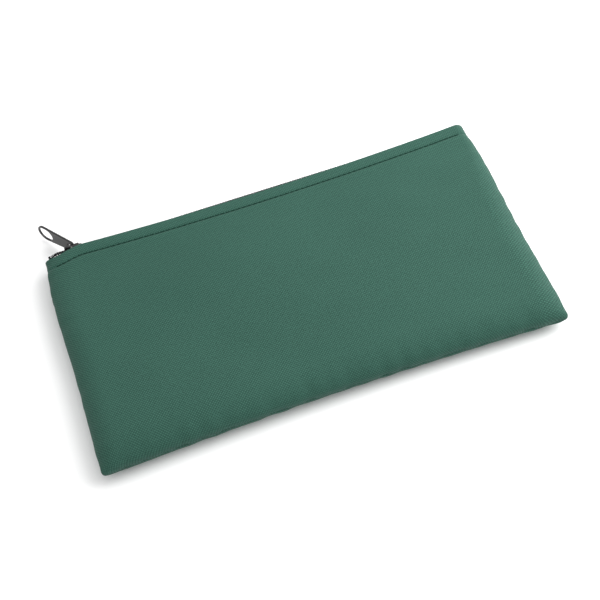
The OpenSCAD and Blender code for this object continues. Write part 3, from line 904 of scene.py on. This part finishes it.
def tab_loops():
    """The tab's outline, its eye and its window, drawn along +X from the pivot."""
    tip = TAB_W / 2
    root = TAB_ROOT_W / 2 - 1
    eye_r = tip - EYE_RIM
    far = TAB_L - tip
    near = far - (EYE_L - 2 * eye_r)
    quarter = math.pi / 2
    outline = (
        arc(far, 0, tip, -quarter, quarter, 40)
        + arc(0.4, root, 1, quarter, 2 * quarter, 8)
        + arc(0.4, -root, 1, 2 * quarter, 3 * quarter, 8)
    )
    eye = arc(far, 0, eye_r, -quarter, quarter, 28) + arc(near, 0, eye_r, quarter, 3 * quarter, 28)
    r = 0.35
    window = (
        arc(WINDOW_L - r, WINDOW_HALF - r, r, 0, quarter, 5)
        + arc(BAR_R + r, WINDOW_HALF - r, r, quarter, 2 * quarter, 5)
        + arc(BAR_R + r, -WINDOW_HALF + r, r, 2 * quarter, 3 * quarter, 5)
        + arc(WINDOW_L - r, -WINDOW_HALF + r, r, 3 * quarter, 4 * quarter, 5)
    )
    return [outline, eye, window]


def build_tab():
    edge = 0.28
    curve = bpy.data.curves.new("tab_outline", "CURVE")
    curve.dimensions = "2D"
    curve.fill_mode = "BOTH"
    curve.extrude = (TAB_T / 2 - edge) * MM
    curve.bevel_depth = edge * MM
    curve.bevel_resolution = 3
    curve.offset = -edge * MM
    for loop in tab_loops():
        spline = curve.splines.new("POLY")
        spline.points.add(len(loop) - 1)
        for point, (x, y) in zip(spline.points, loop):
            point.co = (x * MM, y * MM, 0, 1)
        spline.use_cyclic_u = True
    maker = bpy.data.objects.new("tab_maker", curve)
    bpy.context.scene.collection.objects.link(maker)
    graph = bpy.context.evaluated_depsgraph_get()
    mesh = bpy.data.meshes.new_from_object(maker.evaluated_get(graph))
    bpy.data.objects.remove(maker)
    tilt = Matrix.Rotation(-ZIP_TILT - TAB_SKEW, 4, "X")
    lean = Matrix.Rotation(math.pi - TAB_ANGLE, 4, "Z")
    stand = Matrix.Rotation(math.pi / 2, 4, "X")
    pivot = Vector((zip_point(SLIDER_X, PIVOT_Y, 0.0) * MM).tolist())
    mesh.transform(Matrix.Translation(pivot) @ tilt @ lean @ stand)
    mesh.name = "tab_plate"
    piece = bpy.data.objects.new("tab_plate", mesh)
    bpy.context.scene.collection.objects.link(piece)
    mesh.materials.clear()
    mesh.materials.append(TAB_PAINT)
    mesh.polygons.foreach_set("use_smooth", [True] * len(mesh.polygons))
    mesh.set_sharp_from_angle(angle=math.radians(40))
    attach(piece, "tab")
    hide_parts("pull_tab")
    bar = Threads(sides=20)
    reach = WINDOW_HALF + 0.4
    z = np.array([-reach, -reach + 0.12, 0, reach - 0.12, reach])
    y = PIVOT_Y + z * math.sin(TAB_SKEW)
    bar.add(zip_point(SLIDER_X, y, z * math.cos(TAB_SKEW)), BAR_R * np.array([0.85, 1, 1, 1, 0.85]))
    return piece, bar.place("tab_bar", "tab", TAB_PAINT, "tab_metal")


soften("slider_body", "slider_wings", 0.3, SLIDER_PAINT, "slider")
soften("slider_crown", "slider_bridge", 0.28, SLIDER_PAINT, "slider")
build_tab()


# ---- Floor, light and camera ----

def plain(name, colour, roughness):
    s = Shader(name, Roughness=roughness, Specular_IOR_Level=0.2)
    grain = s.noise(s.node("ShaderNodeTexCoord").outputs["Object"], 60.0, 2.0)
    dark = tuple(0.985 * c for c in colour[:3]) + (1.0,)
    return s.finish(Base_Color=s.mix(grain, dark, colour))


def build_floor():
    half = 3.0
    mesh = bpy.data.meshes.new("floor")
    corners = [(-half, -half, 0), (half, -half, 0), (half, half, 0), (-half, half, 0)]
    mesh.from_pydata(corners, [], [(0, 1, 2, 3)])
    floor = bpy.data.objects.new("floor", mesh)
    floor.location.z = -0.15 * MM
    bpy.context.scene.collection.objects.link(floor)
    mesh.materials.append(plain("pale_floor", (0.94, 0.94, 0.94, 1.0), 0.7))


def softbox(name, place_at, aim, size, watts):
    light = bpy.data.lights.new(name, "AREA")
    light.shape = "DISK"
    light.size = size
    light.energy = watts
    lamp = bpy.data.objects.new(name, light)
    lamp.location = place_at
    lamp.rotation_euler = (Vector(aim) - Vector(place_at)).to_track_quat("-Z", "Y").to_euler()
    bpy.context.scene.collection.objects.link(lamp)


def build_lights():
    world = bpy.data.worlds.new("studio")
    world.use_nodes = True
    world.node_tree.nodes["Background"].inputs[0].default_value = (1, 1, 1, 1)
    world.node_tree.nodes["Background"].inputs[1].default_value = 0.8
    bpy.context.scene.world = world
    softbox("key", (0.62, 0.1, 0.5), (0, 0, 0), 0.9, 9)
    softbox("top", (0.3, 0.5, 1.5), (0, 0, 0), 1.2, 5)


CAMERA_AZIMUTH = math.radians(-12.0)
CAMERA_ELEVATION = math.radians(55.9)
CAMERA_ROLL = math.radians(-8.15)
CAMERA_DISTANCE = 0.681
CAMERA_AIM = (-0.0011, -0.0059, 0.009)
VIEW_ANGLE = math.radians(29.3)


def build_camera():
    camera = bpy.data.cameras.new("camera")
    camera.angle = VIEW_ANGLE
    seat = bpy.data.objects.new("camera", camera)
    flat = math.cos(CAMERA_ELEVATION)
    back = Vector((
        math.sin(CAMERA_AZIMUTH) * flat,
        -math.cos(CAMERA_AZIMUTH) * flat,
        math.sin(CAMERA_ELEVATION),
    ))
    seat.location = Vector(CAMERA_AIM) + CAMERA_DISTANCE * back
    turn = (-back).to_track_quat("-Z", "Y").to_matrix() @ Matrix.Rotation(CAMERA_ROLL, 3, "Z")
    seat.rotation_euler = turn.to_euler()
    bpy.context.scene.collection.objects.link(seat)
    bpy.context.scene.camera = seat


build_floor()
build_lights()
build_camera()
bpy.context.scene.view_settings.view_transform = "Standard"
